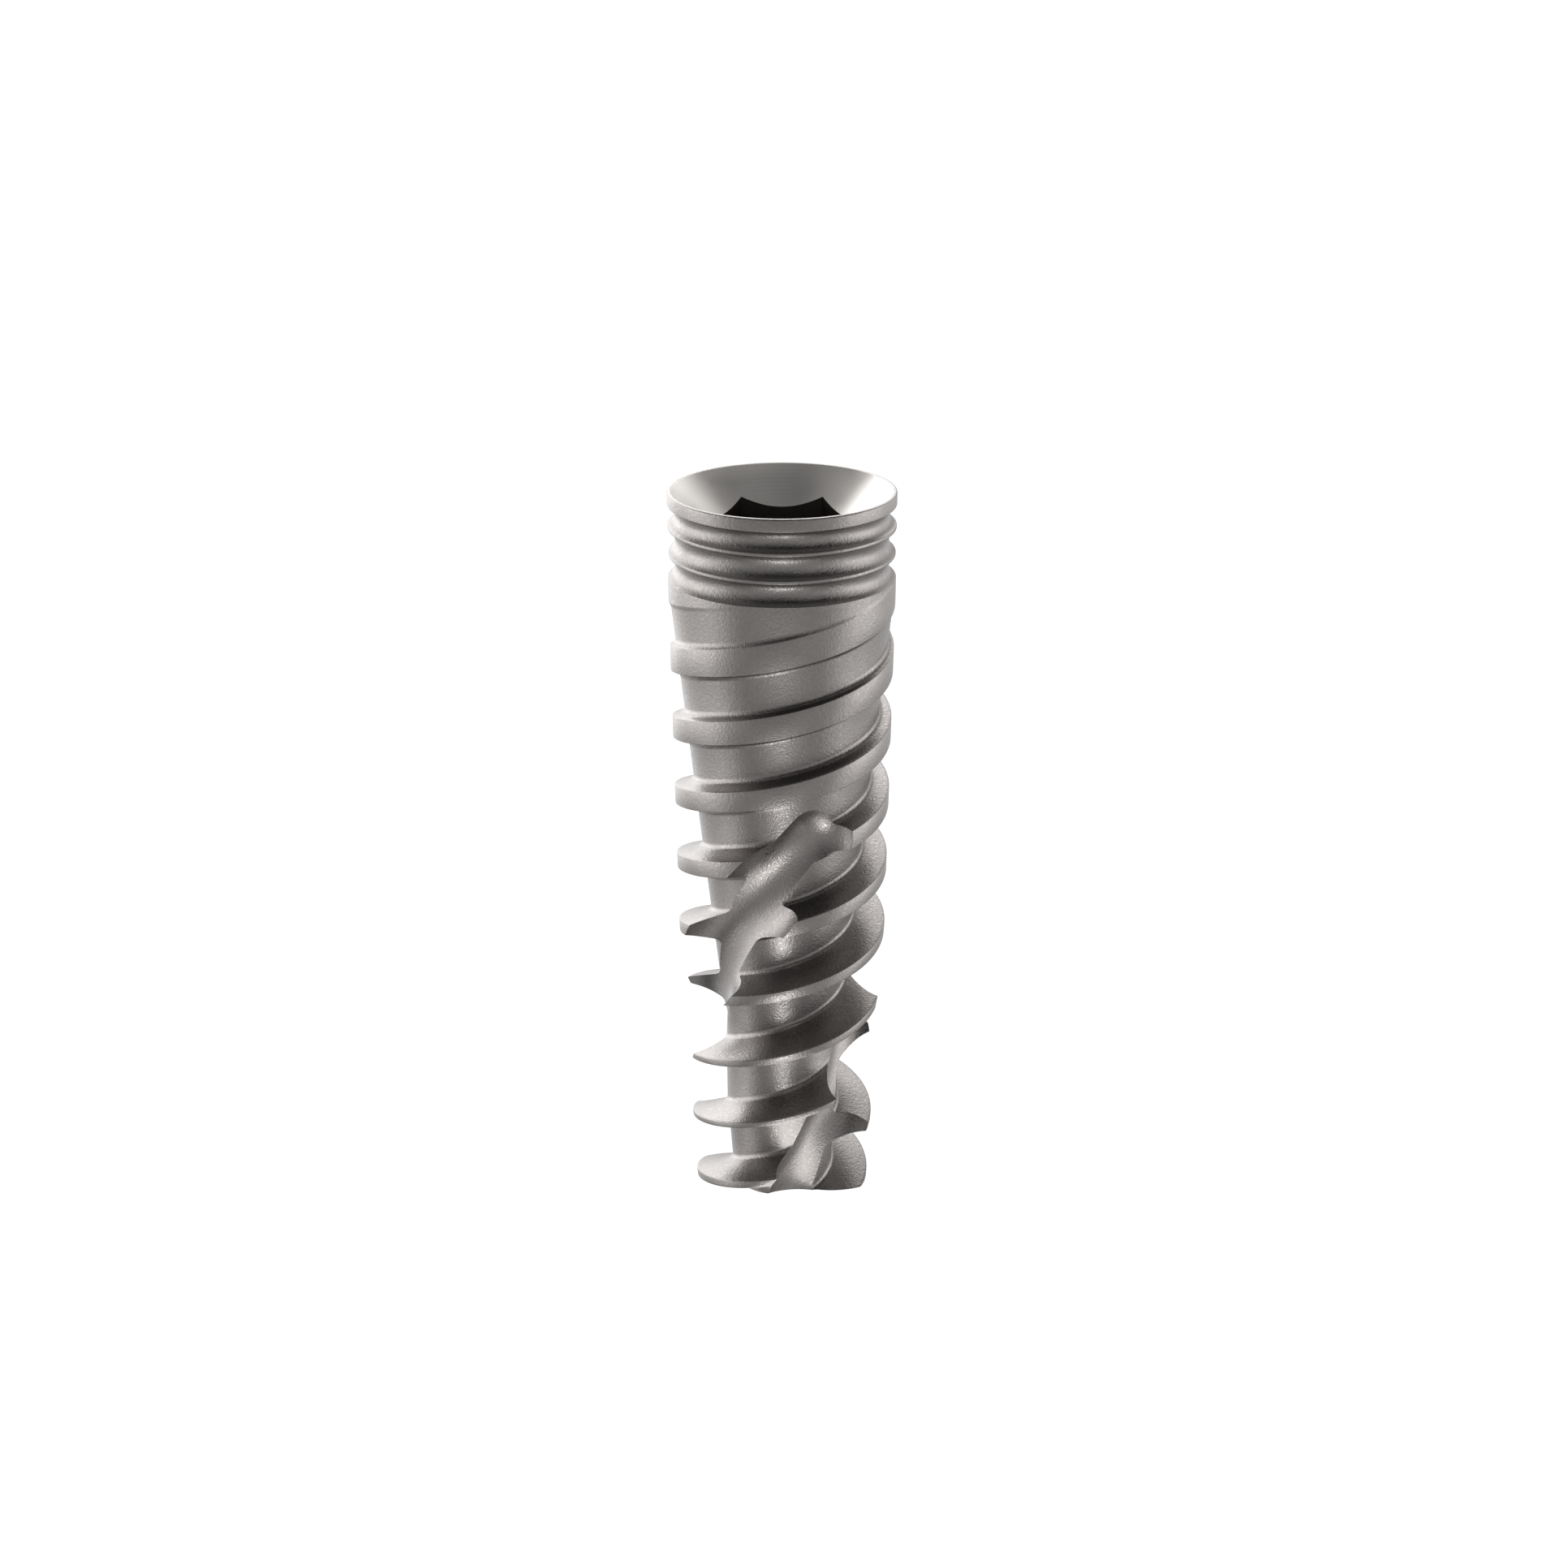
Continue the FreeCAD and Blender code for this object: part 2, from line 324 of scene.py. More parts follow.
def thread_tree(sizes):
    """Surface of the bone thread as one helical grid whose rows follow the crest, flanks, fillets and root."""
    tree, at = new_shape_tree("bone_thread", sizes)
    grid = flat_grid(tree, at)

    def work(*steps):
        work_out(tree, at, *steps)

    def radii(height, crest, root):
        """Crest and root radius at a height, each a chain of straight tapers."""
        work(
            ("a", "MAP", height, 0.0, "Waist height", "Apex crest", "Waist crest"),
            ("b", "MAP", height, "Waist height", "Neck height", 0.0, "upper taper"),
            (crest, "ADD", "a", "b"),
            ("a", "MAP", height, 0.0, "Stem low height", "Apex root", "Stem low"),
            ("b", "MAP", height, "Stem low height", "Stem high height", 0.0, "stem taper"),
            ("a", "ADD", "a", "b"),
            ("b", "MAP", height, "Stem high height", "Cone top height", 0.0, "core taper"),
            (root, "ADD", "a", "b"),
        )

    def edge(side, crest, sign):
        """Height of the crest's edge, of the flank's foot and of the bends between them, on one side."""
        work(
            ("a", "SUBTRACT", crest, "Crest grows from"),
            ("a", "MAXIMUM", "a", 0.0),
            ("a", "MULTIPLY_ADD", "a", "Crest gain", "Crest width"),
            ("half", "MULTIPLY", "a", 0.5),
        )
        if sign > 0:
            work(
                ("a", "DIVIDE", crest, "Apex extra to"),
                ("a", "SUBTRACT", 1.0, "a"),
                ("a", "MAXIMUM", "a", 0.0),
                ("half", "MULTIPLY_ADD", "a", "Apex extra", "half"),
            )
        work((side + " edge", "MULTIPLY_ADD", "half", sign, crest))
        radii(side + " edge", "rc", "rr")
        work(
            ("depth", "SUBTRACT", "rc", "rr"),
            (side + " flank", "MULTIPLY", "depth", "Flank slope"),
            (side + " bend", "MULTIPLY", "soft", sign),
            (side + " out", "SUBTRACT", side + " edge", side + " bend"),
            (side + " in", "ADD", side + " edge", side + " bend"),
            ("a", "SUBTRACT", side + " flank", "tip"),
            ("a", "MAXIMUM", "a", "soft"),
            (side + " fillet", "MULTIPLY_ADD", "a", sign, side + " edge"),
            ("a", "ADD", side + " flank", "toe"),
            (side + " root", "MULTIPLY_ADD", "a", sign, side + " edge"),
        )

    def groove(side, sign):
        """Radius of the groove as one flank and its fillet cut it."""
        work(
            ("way", "SUBTRACT", "z", side + " edge"),
            ("way", "MULTIPLY", "way", sign),
            ("u", "ADD", side + " flank", "toe"),
            ("u", "SUBTRACT", "u", "way"),
            ("u", "MAXIMUM", "u", 0.0),
            ("u", "MINIMUM", "u", "reach"),
            ("u", "MULTIPLY", "u", "u"),
            ("u", "SUBTRACT", "round squared", "u"),
            ("u", "SQRT", "u"),
            ("u", "SUBTRACT", "Root round", "u"),
            ("v", "SUBTRACT", side + " flank", "tip"),
            ("v", "SUBTRACT", "v", "way"),
            ("v", "MAXIMUM", "v", 0.0),
            ("v", "DIVIDE", "v", "Flank slope"),
            ("u", "ADD", "u", "v"),
            (side + " cut", "ADD", "u", "root"),
        )

    work(
        ("upper taper", "SUBTRACT", "Neck", "Waist crest"),
        ("stem taper", "SUBTRACT", "Stem high", "Stem low"),
        ("core taper", "SUBTRACT", "Neck", "Stem high"),
        ("lean", "ARCTANGENT", "Flank slope"),
        ("half bend", "MULTIPLY_ADD", "lean", -0.5, math.pi / 4),
        ("half bend", "TANGENT", "half bend"),
        ("toe", "MULTIPLY", "half bend", "Root round"),
        ("a", "SINE", "lean"),
        ("tip", "MULTIPLY", "toe", "a"),
        ("a", "COSINE", "lean"),
        ("reach", "MULTIPLY", "Root round", "a"),
        ("round squared", "MULTIPLY", "Root round", "Root round"),
        ("soft", "MULTIPLY", "Crest soft", "Flank slope"),
        ("pitch", "DIVIDE", "Lead", "Starts"),
        ("row", "MULTIPLY", "up", "Rows"),
        ("row", "ROUND", "row"),
        ("cell", "DIVIDE", "row", ROWS_PER_PITCH),
        ("cell", "ADD", "cell", 0.5 / ROWS_PER_PITCH),
        ("cell", "FLOOR", "cell"),
        ("row", "MULTIPLY_ADD", "cell", -ROWS_PER_PITCH, "row"),
        ("cell", "ADD", "cell", "First cell"),
        ("a", "SUBTRACT", "turn", "Start turn"),
        ("a", "MULTIPLY_ADD", "a", "Lead", "Crest at start"),
        ("low crest", "MULTIPLY_ADD", "cell", "pitch", "a"),
        ("high crest", "ADD", "low crest", "pitch"),
    )
    edge("low", "low crest", 1.0)
    edge("high", "high crest", -1.0)
    stops = ["low crest", "low out", "low in", "low fillet", "low root"]
    stops += ["high root", "high fillet", "high in", "high out", "high crest"]
    work(("z", "ADD", "low crest", 0.0))
    for before, after, start, stop in zip(stops, stops[1:], ROW_STOPS, ROW_STOPS[1:]):
        work(
            ("rise", "SUBTRACT", after, before),
            ("rise", "MAP", "row", float(start), float(stop), 0.0, "rise"),
            ("z", "ADD", "z", "rise"),
        )
    radii("z", "crest", "root")
    groove("low", 1.0)
    groove("high", -1.0)
    work(
        ("cut", "MAXIMUM", "low cut", "high cut"),
        ("r", "SMOOTH_MIN", "crest", "cut", "Crest soft"),
        ("angle", "MULTIPLY", "turn", math.tau),
    )
    closed = add(tree, "GeometryNodeMergeByDistance", about_axis(tree, at, grid), inputs={"Distance": SAME_POINT})
    finish_shape_tree(tree, closed, at["Material"])
    return tree


def thread_sizes(kept, material):
    """Inputs of the bone thread's node group."""
    return {
        **named_sizes(kept, "flank"),
        "Starts": float(kept.starts),
        "Start turn": kept.start_turn / math.tau,
        "Flank slope": math.tan(kept.flank),
        "Columns": THREAD_COLUMNS,
        "Rows": PITCHES * ROWS_PER_PITCH,
        "First cell": FIRST_PITCH,
        "Material": material,
    }


def flute_tree(sizes):
    """Tool that cuts one flute: a round bar that follows a steep helix, with a ball end."""
    tree, at = new_shape_tree("flute_tool", sizes)
    at["index"] = add(tree, "GeometryNodeInputIndex")
    work_out(
        tree,
        at,
        ("z", "MAP", "index", 0.0, "Last step", "Bottom", "End"),
        ("share", "SUBTRACT", "z", "Sweep from"),
        ("share", "MAXIMUM", "share", 0.0),
        ("span", "SUBTRACT", "End", "Sweep from"),
        ("share", "DIVIDE", "share", "span"),
        ("share", "MULTIPLY", "share", "share"),
        ("angle", "DIVIDE", "z", "Lead"),
        ("angle", "MULTIPLY_ADD", "angle", math.tau, "Start turn"),
        ("angle", "MULTIPLY_ADD", "share", "Sweep", "angle"),
        ("r", "MULTIPLY_ADD", "z", "Slope", "Floor"),
        ("r", "ADD", "r", "Tool"),
        ("ball", "MULTIPLY", "Tool", BALL_SHARE),
    )
    line = about_axis(tree, at, add(tree, "GeometryNodeMeshLine", at["Points"], mode="OFFSET"))
    path = add(tree, "GeometryNodeMeshToCurve", line)
    ring = add(tree, "GeometryNodeCurvePrimitiveCircle", at["Facets"], inputs={"Radius": at["Tool"]})
    bar = add(tree, "GeometryNodeCurveToMesh", path, ring, inputs={"Fill Caps": True})
    end = add(tree, "GeometryNodeSampleCurve", path, data_type="FLOAT", mode="FACTOR", inputs={"Factor": 1.0})
    ball = add(tree, "GeometryNodeMeshUVSphere", at["Facets"], at["Rings"], at["ball"])
    moved = add(tree, "GeometryNodeTransform", ball, inputs={"Translation": end.outputs["Position"]})
    whole = add(tree, "GeometryNodeMeshBoolean", operation="UNION", solver="EXACT")
    tree.links.new(bar.outputs[0], whole.inputs["Mesh 2"])
    tree.links.new(moved.outputs[0], whole.inputs["Mesh 2"])
    finish_shape_tree(tree, whole, at["Material"])
    return tree


def flute_sizes(kept, material):
    """Inputs of the flute tool's node group."""
    return {
        **named_sizes(kept, "count"),
        "Points": FLUTE_STEPS + 1,
        "Last step": float(FLUTE_STEPS),
        "Facets": TOOL_SEGMENTS,
        "Rings": TOOL_SEGMENTS // 2,
        "Bottom": FLUTE_TOOL_BOTTOM,
        "Material": material,
    }


def lathe(name, profile, segments):
    """Body of revolution about Z; its profile runs up on the outside, and a point on the axis closes it there."""
    shape = bmesh.new()
    rings = []
    for radius, height in profile:
        if radius < MICRON:
            rings.append([shape.verts.new((0, 0, height))])
            continue
        spots = [math.tau * at / segments for at in range(segments)]
        rings.append([shape.verts.new((radius * math.cos(a), radius * math.sin(a), height)) for a in spots])
    for low, high in zip(rings, rings[1:]):
        for at in range(segments):
            after = (at + 1) % segments
            corners = [low[at % len(low)], low[after % len(low)], high[after % len(high)], high[at % len(high)]]
            shape.faces.new(list(dict.fromkeys(corners)))
    bmesh.ops.recalc_face_normals(shape, faces=shape.faces)
    made = bpy.data.meshes.new(name)
    shape.to_mesh(made)
    shape.free()
    return made


def arc_through(start, middle, end, steps):
    """Points of the circular arc through three points of a profile, without the first."""
    (ax, ay), (bx, by), (cx, cy) = start, middle, end
    d = 2 * (ax * (by - cy) + bx * (cy - ay) + cx * (ay - by))
    a2, b2, c2 = ax * ax + ay * ay, bx * bx + by * by, cx * cx + cy * cy
    ox = (a2 * (by - cy) + b2 * (cy - ay) + c2 * (ay - by)) / d
    oy = (a2 * (cx - bx) + b2 * (ax - cx) + c2 * (bx - ax)) / d
    radius = math.hypot(ax - ox, ay - oy)
    first = math.atan2(ay - oy, ax - ox)
    last = math.atan2(cy - oy, cx - ox)
    half = math.atan2(by - oy, bx - ox)
    sweep = (last - first) % math.tau
    if (half - first) % math.tau > sweep:
        sweep -= math.tau
    angles = [first + sweep * step / steps for step in range(1, steps + 1)]
    return [(ox + radius * math.cos(a), oy + radius * math.sin(a)) for a in angles]


def softened(profile, sharp, reach):
    """The profile with each corner named in sharp rounded over this reach."""
    result = []
    for at, corner in enumerate(profile):
        if at not in sharp:
            result.append(corner)
            continue
        here = Vector(corner)
        before = Vector(profile[at - 1]) - here
        after = Vector(profile[at + 1]) - here
        start = here + before.normalized() * min(reach, before.length * MOST_OF_A_SIDE)
        end = here + after.normalized() * min(reach, after.length * MOST_OF_A_SIDE)
        for step in range(SOFT_STEPS + 1):
            t = step / SOFT_STEPS
            result.append(tuple(start * (1 - t) ** 2 + here * 2 * t * (1 - t) + end * t * t))
    return result


def collar_profile(kept, neck, top):
    """Outside of the collar from its plug in the body up over the rim and down the bevel to the axis."""
    half = kept.ridge_width / 2
    seat = kept.low_edge - LAP
    profile = [(0, PLUG_FOOT), (PLUG_RADIUS, PLUG_FOOT), (PLUG_RADIUS, seat), (neck - LAP, seat)]
    grooves = (
        (neck, kept.low_edge, kept.ridge_low_radius, kept.ridge_low - half),
        (kept.ridge_low_radius, kept.ridge_low + half, kept.ridge_high_radius, kept.ridge_high - half),
        (kept.ridge_high_radius, kept.ridge_high + half, kept.platform, kept.band),
    )
    sharp = []
    for number, (low_radius, low, high_radius, high) in enumerate(grooves):
        start = (low_radius, low)
        if number:
            sharp.append(len(profile))
            profile.append(start)
        profile += arc_through(start, (kept.floor, (low + high) / 2), (high_radius, high), GROOVE_STEPS)
        sharp.append(len(profile) - 1)
    corner = kept.rim_round * (1 - math.sqrt(0.5))
    band_top = (kept.platform, top - kept.rim_round)
    profile.append(band_top)
    land = (kept.platform - kept.rim_round, top)
    profile += arc_through(band_top, (kept.platform - corner, top - corner), land, RIM_STEPS)
    cone = kept.platform - kept.land
    sharp.append(len(profile))
    profile.append((cone, top))
    for step in range(1, BEVEL_STEPS + 1):
        share = 1 - step / BEVEL_STEPS
        profile.append((cone * share, top - cone * kept.cone_slope * (1 - share)))
    return softened(profile, sharp, kept.edge_soft)


def screw_tree(sizes):
    """Tool that cuts the screw bore with its internal thread, as one grid about the axis."""
    tree, at = new_shape_tree("screw_bore", sizes)
    grid = flat_grid(tree, at)
    work_out(
        tree,
        at,
        ("span", "SUBTRACT", "Top", "Bottom"),
        ("z", "MULTIPLY_ADD", "up", "span", "Bottom"),
        ("phase", "DIVIDE", "z", "Pitch"),
        ("phase", "SUBTRACT", "phase", "turn"),
        ("wave", "PINGPONG", "phase", 0.5),
        ("wave", "MULTIPLY_ADD", "wave", SCREW_FLANK, -SCREW_FLAT),
        ("wave", "MINIMUM", "wave", 1.0),
        ("wave", "MAXIMUM", "wave", 0.0),
        ("fade", "SUBTRACT", "Top", "z"),
        ("fade", "DIVIDE", "fade", "Pitch"),
        ("fade", "MINIMUM", "fade", 1.0),
        ("wave", "MULTIPLY", "wave", "fade"),
        ("r", "MULTIPLY_ADD", "wave", "Depth", "Bore"),
        ("angle", "MULTIPLY", "turn", math.tau),
    )
    closed = add(tree, "GeometryNodeMergeByDistance", about_axis(tree, at, grid), inputs={"Distance": SAME_POINT})
    finish_shape_tree(tree, closed, at["Material"])
    return tree


def close_ends(mesh, low=None, high=None):
    """Cuts a tube square at two heights, if given, and closes its open ends."""
    shape = bmesh.new()
    shape.from_mesh(mesh)
    for height, way in ((low, -1), (high, 1)):
        if height is None:
            continue
        every = [*shape.verts, *shape.edges, *shape.faces]
        bmesh.ops.bisect_plane(
            shape, geom=every, dist=SAME_POINT / 4, plane_co=(0, 0, height), plane_no=(0, 0, way), clear_outer=True
        )
    rim = [edge for edge in shape.edges if edge.is_boundary]
    bmesh.ops.holes_fill(shape, edges=rim, sides=0)
    bmesh.ops.recalc_face_normals(shape, faces=shape.faces)
    shape.to_mesh(mesh)
    shape.free()
    return mesh


def combined(whole, operation, tool_mesh):
    """The object's mesh after one exact cut or join with a tool."""
    tool = bpy.data.objects.new("tool", tool_mesh)
    bpy.context.scene.collection.objects.link(tool)
    cutter = whole.modifiers.new("cut", "BOOLEAN")
    cutter.solver = "EXACT"
    cutter.operation = operation
    cutter.object = tool
    found = bpy.data.meshes.new_from_object(whole.evaluated_get(bpy.context.evaluated_depsgraph_get()))
    whole.modifiers.clear()
    bpy.data.objects.remove(tool)
    if not len(found.polygons):
        raise RuntimeError("a cut left nothing of " + whole.name)
    whole.data = found


def hexagon_corner(kept):
    """Radius of the hexagon's corners."""
    return kept.flats / (2 * math.cos(math.pi / HEXAGON_SIDES))


def socket_tools(kept, inside, top):
    """Tools for the socket: plain bore with its lead-in and drill point, hexagon, and internal thread."""
    thread_depth = 0.5 * kept.screw_pitch
    bore = kept.screw / 2 - thread_depth
    hex_floor = top - kept.depth
    bore_floor = top - kept.bore_depth
    tip = bore_floor - bore / math.tan(kept.drill_point / 2)
    mouth = bore + SCREW_LEAD_IN
    above = hex_floor + BORE_TOOL_INTO_HEXAGON
    wall = [(bore, bore_floor), (bore, hex_floor - SCREW_LEAD_IN), (mouth, hex_floor), (mouth, above)]
    plain = lathe("plain_bore", [(0, tip), *wall, (0, above)], TOOL_SEGMENTS)

    length = kept.depth + HEXAGON_ABOVE_RIM
    lift = Matrix.Translation((0, 0, top + HEXAGON_ABOVE_RIM - length / 2))
    hexagon = bmesh.new()
    bmesh.ops.create_cone(
        hexagon,
        cap_ends=True,
        segments=HEXAGON_SIDES,
        radius1=hexagon_corner(kept),
        radius2=hexagon_corner(kept),
        depth=length,
        matrix=lift @ Matrix.Rotation(math.pi / 2, 4, "Z"),
    )
    hexagon_mesh = bpy.data.meshes.new("hexagon")
    hexagon.to_mesh(hexagon_mesh)
    hexagon.free()

    # The thread's tool stays just under the plain bore between its grooves, so that it cuts the grooves alone
    under = 5 * MICRON
    sizes = {
        "Columns": TOOL_SEGMENTS,
        "Rows": SCREW_ROWS,
        "Bottom": bore_floor + SCREW_THREAD_ABOVE_FLOOR,
        "Top": hex_floor + SCREW_THREAD_INTO_HEXAGON,
        "Pitch": kept.screw_pitch,
        "Bore": bore - under,
        "Depth": thread_depth + under,
        "Material": inside,
    }
    threaded = close_ends(grown_mesh("screw_bore", screw_tree(sizes), sizes))
    return [plain, hexagon_mesh, threaded]


def blank(group, name):
    """New material or world that has no nodes yet, and its node tree."""
    made = group.new(name)
    made.use_nodes = True
    made.node_tree.nodes.clear()
    return made, made.node_tree


# Numbers of the Mix node's colour sockets, which share their names with its other sockets
MIX_A, MIX_B, MIX_RESULT = 6, 7, 2


def blasted_titanium(look):
    """Titanium alloy, grit-blasted and then acid-etched: a dull warm grey with a fine sparkle of etched grains."""
    made, tree = blank(bpy.data.materials, "Titanium grit-blasted and etched")
    spot = add(tree, "ShaderNodeTexCoord").outputs["Object"]
    # Blasting grit leaves pits of 0.04 to 0.08 mm, and the acid leaves facets of 0.035 mm that catch the light
    grit = add(tree, "ShaderNodeTexNoise", inputs={"Vector": spot, "Scale": 1 / GRIT_PIT, "Detail": 2.0})
    facets = add(tree, "ShaderNodeTexVoronoi", inputs={"Vector": spot, "Scale": 1 / ETCHED_FACET})
    patches = add(tree, "ShaderNodeTexNoise", inputs={"Vector": spot, "Scale": 1 / BLASTED_PATCH, "Detail": 2.0})
    chance = add(tree, "ShaderNodeSeparateColor", facets.outputs["Color"])
    bright = add(tree, "ShaderNodeMapRange", chance, *BRIGHT_FACETS, 0.0, 1.0)
    # Share of the brighter colour that the pits, the patches and the bright facets bring
    uneven = add(tree, "ShaderNodeMapRange", grit, *NOISE_SPAN, 0.0, 0.12)
    cloud = add(tree, "ShaderNodeMapRange", patches, *NOISE_SPAN, -0.04, 0.06)
    mix = add(tree, "ShaderNodeMath", uneven, cloud, operation="ADD")
    mix = add(tree, "ShaderNodeMath", bright, 0.12, mix, operation="MULTIPLY_ADD", use_clamp=True)
    colours = {MIX_A: (*look.blasted, 1), MIX_B: (*look.blasted_bright, 1)}
    tint = add(tree, "ShaderNodeMix", mix, data_type="RGBA", clamp_factor=True, inputs=colours)
    rough = add(tree, "ShaderNodeMapRange", bright, 0.0, 1.0, 0.34, 0.24)
    # Each facet stands up at its middle, on top of the pits, and the blasting rounds every cut edge
    height = add(tree, "ShaderNodeMath", facets.outputs["Distance"], -0.8, grit, operation="MULTIPLY_ADD")
    edge = add(tree, "ShaderNodeBevel", BLASTED_EDGE, samples=4)
    bump = add(
        tree,
        "ShaderNodeBump",
        inputs={"Strength": 0.75, "Distance": 4 * MICRON, "Height": height, "Normal": edge},
    )
    skin = add(
        tree,
        "ShaderNodeBsdfPrincipled",
        inputs={"Base Color": tint.outputs[MIX_RESULT], "Metallic": 1.0, "Roughness": rough, "Normal": bump},
    )
    add(tree, "ShaderNodeOutputMaterial", skin)
    return made


def turned_titanium(look):
    """Titanium alloy left as it came off the lathe: smoother, with fine rings round the axis."""
    made, tree = blank(bpy.data.materials, "Titanium as turned")
    spot = add(tree, "ShaderNodeTexCoord").outputs["Object"]
    # The tool feed is about 0.01 mm; drawn at 0.06 mm so that it shows at all. The node's rings are tau / 20 wide
    ring_scale = math.tau / (20 * TURNED_RING)
    rings = add(
        tree,
        "ShaderNodeTexWave",
        wave_type="RINGS",
        rings_direction="Z",
        inputs={"Vector": spot, "Scale": ring_scale, "Distortion": 0.0},
    )
    smear = add(tree, "ShaderNodeTexNoise", inputs={"Vector": spot, "Scale": 1 / TURNED_SMEAR, "Detail": 3.0})
    rough = add(tree, "ShaderNodeMapRange", smear, *NOISE_SPAN, 0.27, 0.34)
    bump = add(
        tree,
        "ShaderNodeBump",
        inputs={"Strength": 0.2, "Distance": 1 * MICRON, "Height": rings.outputs["Fac"]},
    )
    skin = add(
        tree,
        "ShaderNodeBsdfPrincipled",
        inputs={"Base Color": (*look.turned, 1), "Metallic": 1.0, "Roughness": rough, "Normal": bump},
    )
    add(tree, "ShaderNodeOutputMaterial", skin)
    return made


def shaded_broach_cut_titanium(look):
    """Titanium alloy left by the broach and the thread mill: dull, with fine upright marks, and painted darker than
    bare titanium as shade for the deep socket.
    """
    made, tree = blank(bpy.data.materials, "Titanium as broached")
    spot = add(tree, "ShaderNodeTexCoord").outputs["Object"]
    # Broach marks are about 0.02 mm apart and run down the walls
    upright = add(tree, "ShaderNodeMapping", spot, inputs={"Scale": (1.0, 1.0, BROACH_SQUEEZE)})
    marks = add(tree, "ShaderNodeTexNoise", inputs={"Vector": upright, "Scale": 1 / BROACH_MARK, "Detail": 2.0})
    rough = add(tree, "ShaderNodeMapRange", marks, *NOISE_SPAN, 0.38, 0.5)
    bump = add(tree, "ShaderNodeBump", inputs={"Strength": 0.5, "Distance": 1 * MICRON, "Height": marks})
    # The dark base colour is painted shade for the deep socket, laid over the broached finish
    skin = add(
        tree,
        "ShaderNodeBsdfPrincipled",
        inputs={"Base Color": (*look.broached, 1), "Metallic": 1.0, "Roughness": rough, "Normal": bump},
    )
    add(tree, "ShaderNodeOutputMaterial", skin)
    return made


def paint_socket(mesh, collar, socket, top):
    """Gives the bevel the turned finish, the hexagon and the bore the broached one with its painted shade, and the
    rest the blasted one.
    """
    hex_floor = top - socket.depth
    hex_corner = hexagon_corner(socket) + MICRON
    cone = collar.platform - collar.land
    for face in mesh.polygons:
        centre = face.center
        radius = math.hypot(centre.x, centre.y)
        bevel = cone - (top - centre.z) / collar.cone_slope
        in_bore = radius < socket.screw / 2 + MICRON and centre.z > top - DRILL_POINT_REACH * socket.bore_depth
        in_mouth = radius < max(hex_corner, bevel + MICRON) and centre.z > hex_floor - MICRON
        if not (in_bore or in_mouth):
            face.material_index = OUTSIDE
        elif abs(radius - bevel) < ON_BEVEL and not in_bore:
            face.material_index = BEVEL
        else:
            face.material_index = INSIDE


class IMPLANT_OT_body(bpy.types.Operator):
    """Make the implant: thread and neck, collar, cutting flutes, socket and internal thread"""

    bl_idname = "implant.body"
    bl_label = "Implant body"

    def execute(self, context):
        scene, top = context.scene, HIGH.z
        thread, flutes = scene.implant_thread, scene.implant_flutes
        collar, socket = scene.implant_collar, scene.implant_socket
        outside = blasted_titanium(scene.implant_finish)
        bevel = turned_titanium(scene.implant_finish)
        inside = shaded_broach_cut_titanium(scene.implant_finish)
        sizes = thread_sizes(thread, outside)
        threaded = grown_mesh("implant_outside", thread_tree(sizes), sizes)
        body = bpy.data.objects.new("implant_outside", close_ends(threaded, LOW.z, collar.low_edge))
        scene.collection.objects.link(body)
        combined(body, "UNION", lathe("collar", collar_profile(collar, thread.neck, top), COLLAR_SEGMENTS))
        sizes = flute_sizes(flutes, outside)
        flute = grown_mesh("flute_tool", flute_tree(sizes), sizes)
        for number in range(flutes.count):
            tool = flute.copy()
            tool.transform(Matrix.Rotation(math.tau * number / flutes.count, 4, "Z"))
            combined(body, "DIFFERENCE", tool)
        for tool in socket_tools(socket, inside, top):
            combined(body, "DIFFERENCE", tool)
        body.data.materials.clear()
        for finish in (outside, bevel, inside):
            body.data.materials.append(finish)
        paint_socket(body.data, collar, socket, top)
        body.data.shade_smooth()
        body.data.set_sharp_from_angle(angle=SHARP_EDGE)
        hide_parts(NODE)
        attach(body, "root")
        return {"FINISHED"}


# Soft lights of the studio as the implant sees them, in degrees: azimuth from the camera to the right, elevation,
# half width, and radiance at the middle. The walls behind and beside it are bright, the top and the camera side dark.
SOFT_LIGHTS = (
    (-180, 36, 38, 2.80),
    (-150, 8, 38, 1.75),
    (-120, 8, 38, 1.35),
    (-90, 8, 38, 1.45),
    (-90, 36, 38, 0.35),
    (-30, 8, 38, 0.35),
    (30, 8, 38, 0.43),
    (90, 8, 38, 1.40),
    (120, 8, 38, 0.92),
    (150, 8, 38, 0.25),
    (-150, -22, 38, 0.85),
    (-90, -22, 38, 0.93),
    (-60, -22, 38, 0.46),
    (0, -22, 38, 0.36),
    (60, -22, 38, 0.50),
    (90, -22, 38, 0.98),
    (150, -22, 38, 0.67),
    (0, -50, 38, 0.55),
    (0, -85, 40, 0.70),
    (150, 64, 38, 0.28),
    (0, 90, 38, 0.16),
)

# Small bright cards that lie before the implant: name, middle, width and length in millimetres, and radiance
CARDS = (
    ("front_card", (0.1, -8.0, 0.2), (2.2, 4.0), 6.0),
    ("foot_card", (0.7, -2.6, 0.03), (2.8, 3.2), 2.2),
)


def toward(azimuth, elevation):
    """Direction seen from the implant, with azimuth zero at the camera."""
    azimuth, elevation = math.radians(azimuth), math.radians(elevation)
    level = math.cos(elevation)
    return Vector((math.sin(azimuth) * level, -math.cos(azimuth) * level, math.sin(elevation)))


def lay_light_table(look):
    """Floor of opal acrylic lit evenly from below: no shadow and no grain shows on it, and no metal mirrors it."""
    acrylic, tree = blank(bpy.data.materials, "Opal acrylic light table")
    add(tree, "ShaderNodeOutputMaterial", add(tree, "ShaderNodeEmission", (*look.floor, 1), TABLE_GLOW))
    floor = bpy.data.objects.new("floor", lathe("floor", TABLE_RINGS, FLOOR_SEGMENTS))
    floor.data.materials.append(acrylic)
    floor.visible_glossy = False
    floor.visible_shadow = False
    bpy.context.scene.collection.objects.link(floor)


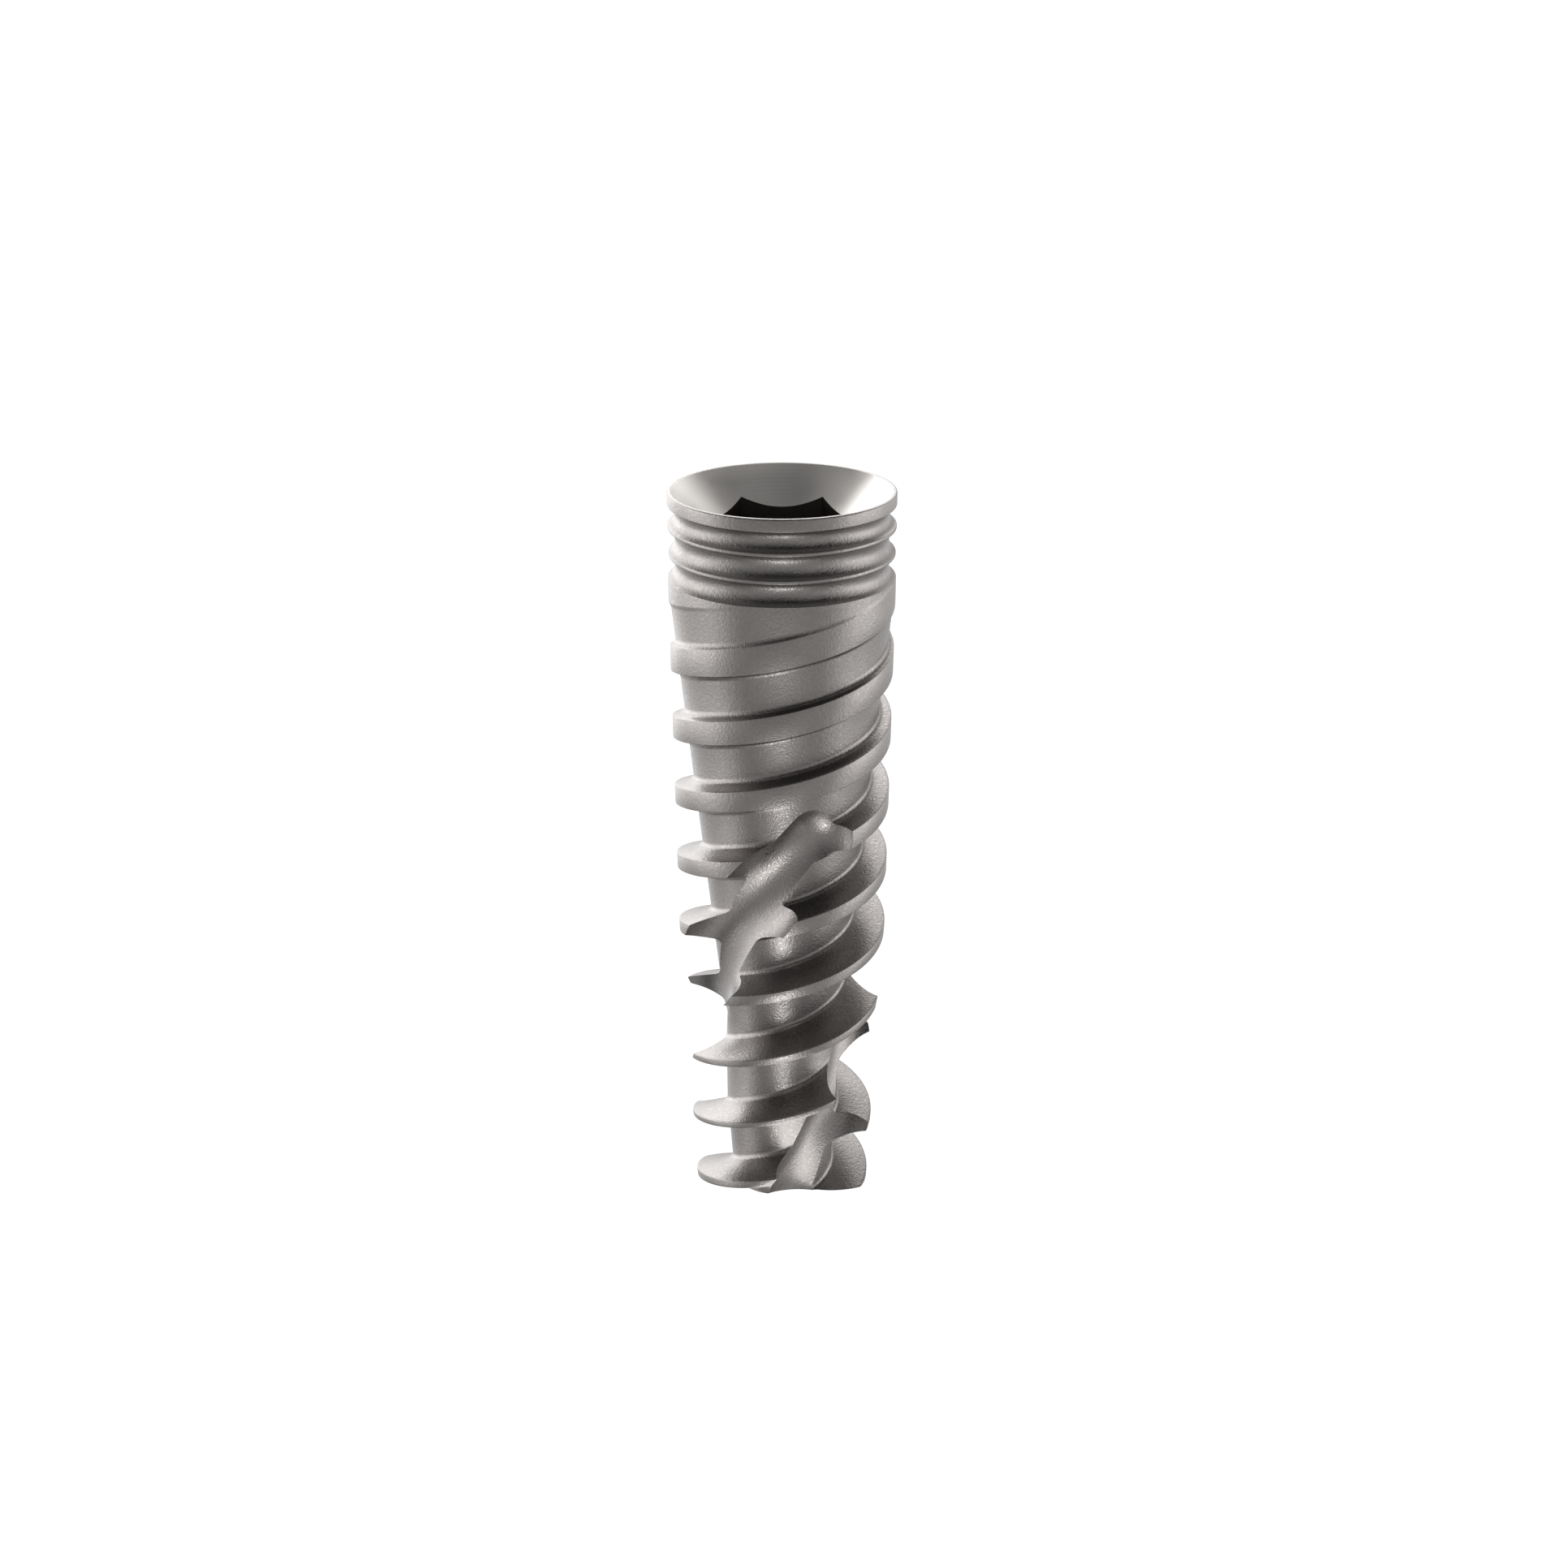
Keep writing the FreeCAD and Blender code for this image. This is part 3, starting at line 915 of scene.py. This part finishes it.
def hang_soft_lights():
    """World that holds the soft lights, each brightest at its middle and fading to nothing at its edge."""
    world, tree = blank(bpy.data.worlds, "studio")
    way = add(tree, "ShaderNodeTexCoord").outputs["Generated"]
    light = 0.0
    for azimuth, elevation, half_width, radiance in SOFT_LIGHTS:
        near = add(tree, "ShaderNodeVectorMath", way, toward(azimuth, elevation), operation="DOT_PRODUCT")
        patch = add(
            tree,
            "ShaderNodeMapRange",
            near.outputs["Value"],
            math.cos(math.radians(half_width)),
            1.0,
            0.0,
            radiance,
            interpolation_type="SMOOTHSTEP",
        )
        light = add(tree, "ShaderNodeMath", light, patch, operation="ADD")
    add(tree, "ShaderNodeOutputWorld", add(tree, "ShaderNodeBackground", (1, 1, 1, 1), light))
    bpy.context.scene.world = world


def lay_cards():
    """Small bright cards on the floor before the implant, which the camera doesn't see."""
    for name, place, (width, length), radiance in CARDS:
        card = bpy.data.lights.new(name, "AREA")
        card.shape = "RECTANGLE"
        card.size = width * MM
        card.size_y = length * MM
        card.energy = radiance * math.pi * card.size * card.size_y
        holder = bpy.data.objects.new(name, card)
        holder.location = Vector(place) * MM
        holder.rotation_euler = (math.pi, 0, 0)
        holder.visible_camera = False
        bpy.context.scene.collection.objects.link(holder)


def place_camera():
    """Camera at the photo's viewing angle."""
    camera = bpy.data.objects.new("camera", bpy.data.cameras.new("camera"))
    camera.location = CAMERA_PLACE
    camera.rotation_euler = (math.pi / 2 - CAMERA_TILT, 0, 0)
    camera.data.sensor_fit = "HORIZONTAL"
    camera.data.sensor_width = CAMERA_SENSOR
    camera.data.lens = CAMERA_LENS
    camera.data.shift_x = CAMERA_SHIFT
    camera.data.clip_start = CAMERA_NEAR
    camera.data.clip_end = CAMERA_FAR
    bpy.context.scene.collection.objects.link(camera)
    bpy.context.scene.camera = camera


class IMPLANT_OT_stage(bpy.types.Operator):
    """Set up the pale floor, the soft studio light and the camera"""

    bl_idname = "implant.stage"
    bl_label = "Studio"

    def execute(self, context):
        lay_light_table(context.scene.implant_finish)
        hang_soft_lights()
        lay_cards()
        place_camera()
        context.scene.view_settings.view_transform = "Standard"
        return {"FINISHED"}


class IMPLANT_PT_panel(bpy.types.Panel):
    """Sizes, finishes and the steps that make the implant"""

    bl_label = "Dental implant"
    bl_idname = "IMPLANT_PT_panel"
    bl_space_type = "VIEW_3D"
    bl_region_type = "UI"
    bl_category = "Implant"

    def draw(self, context):
        for kind in (IMPLANT_OT_body, IMPLANT_OT_stage):
            self.layout.operator(kind.bl_idname)
        for group_name in GROUPS:
            group = getattr(context.scene, group_name)
            box = self.layout.box()
            for name in group.__annotations__:
                box.prop(group, name)


GROUPS = {
    "implant_thread": ImplantThreadSizes,
    "implant_flutes": ImplantFluteSizes,
    "implant_collar": ImplantCollarSizes,
    "implant_socket": ImplantSocketSizes,
    "implant_finish": ImplantFinish,
}
CLASSES = (*GROUPS.values(), IMPLANT_OT_body, IMPLANT_OT_stage, IMPLANT_PT_panel)


def register():
    for kind in CLASSES:
        bpy.utils.register_class(kind)
    for name, kind in GROUPS.items():
        setattr(bpy.types.Scene, name, PointerProperty(type=kind))


def unregister():
    for name in GROUPS:
        delattr(bpy.types.Scene, name)
    for kind in reversed(CLASSES):
        bpy.utils.unregister_class(kind)


def main():
    register()
    bpy.ops.implant.stage()
    bpy.ops.implant.body()


if __name__ == "__main__":
    main()
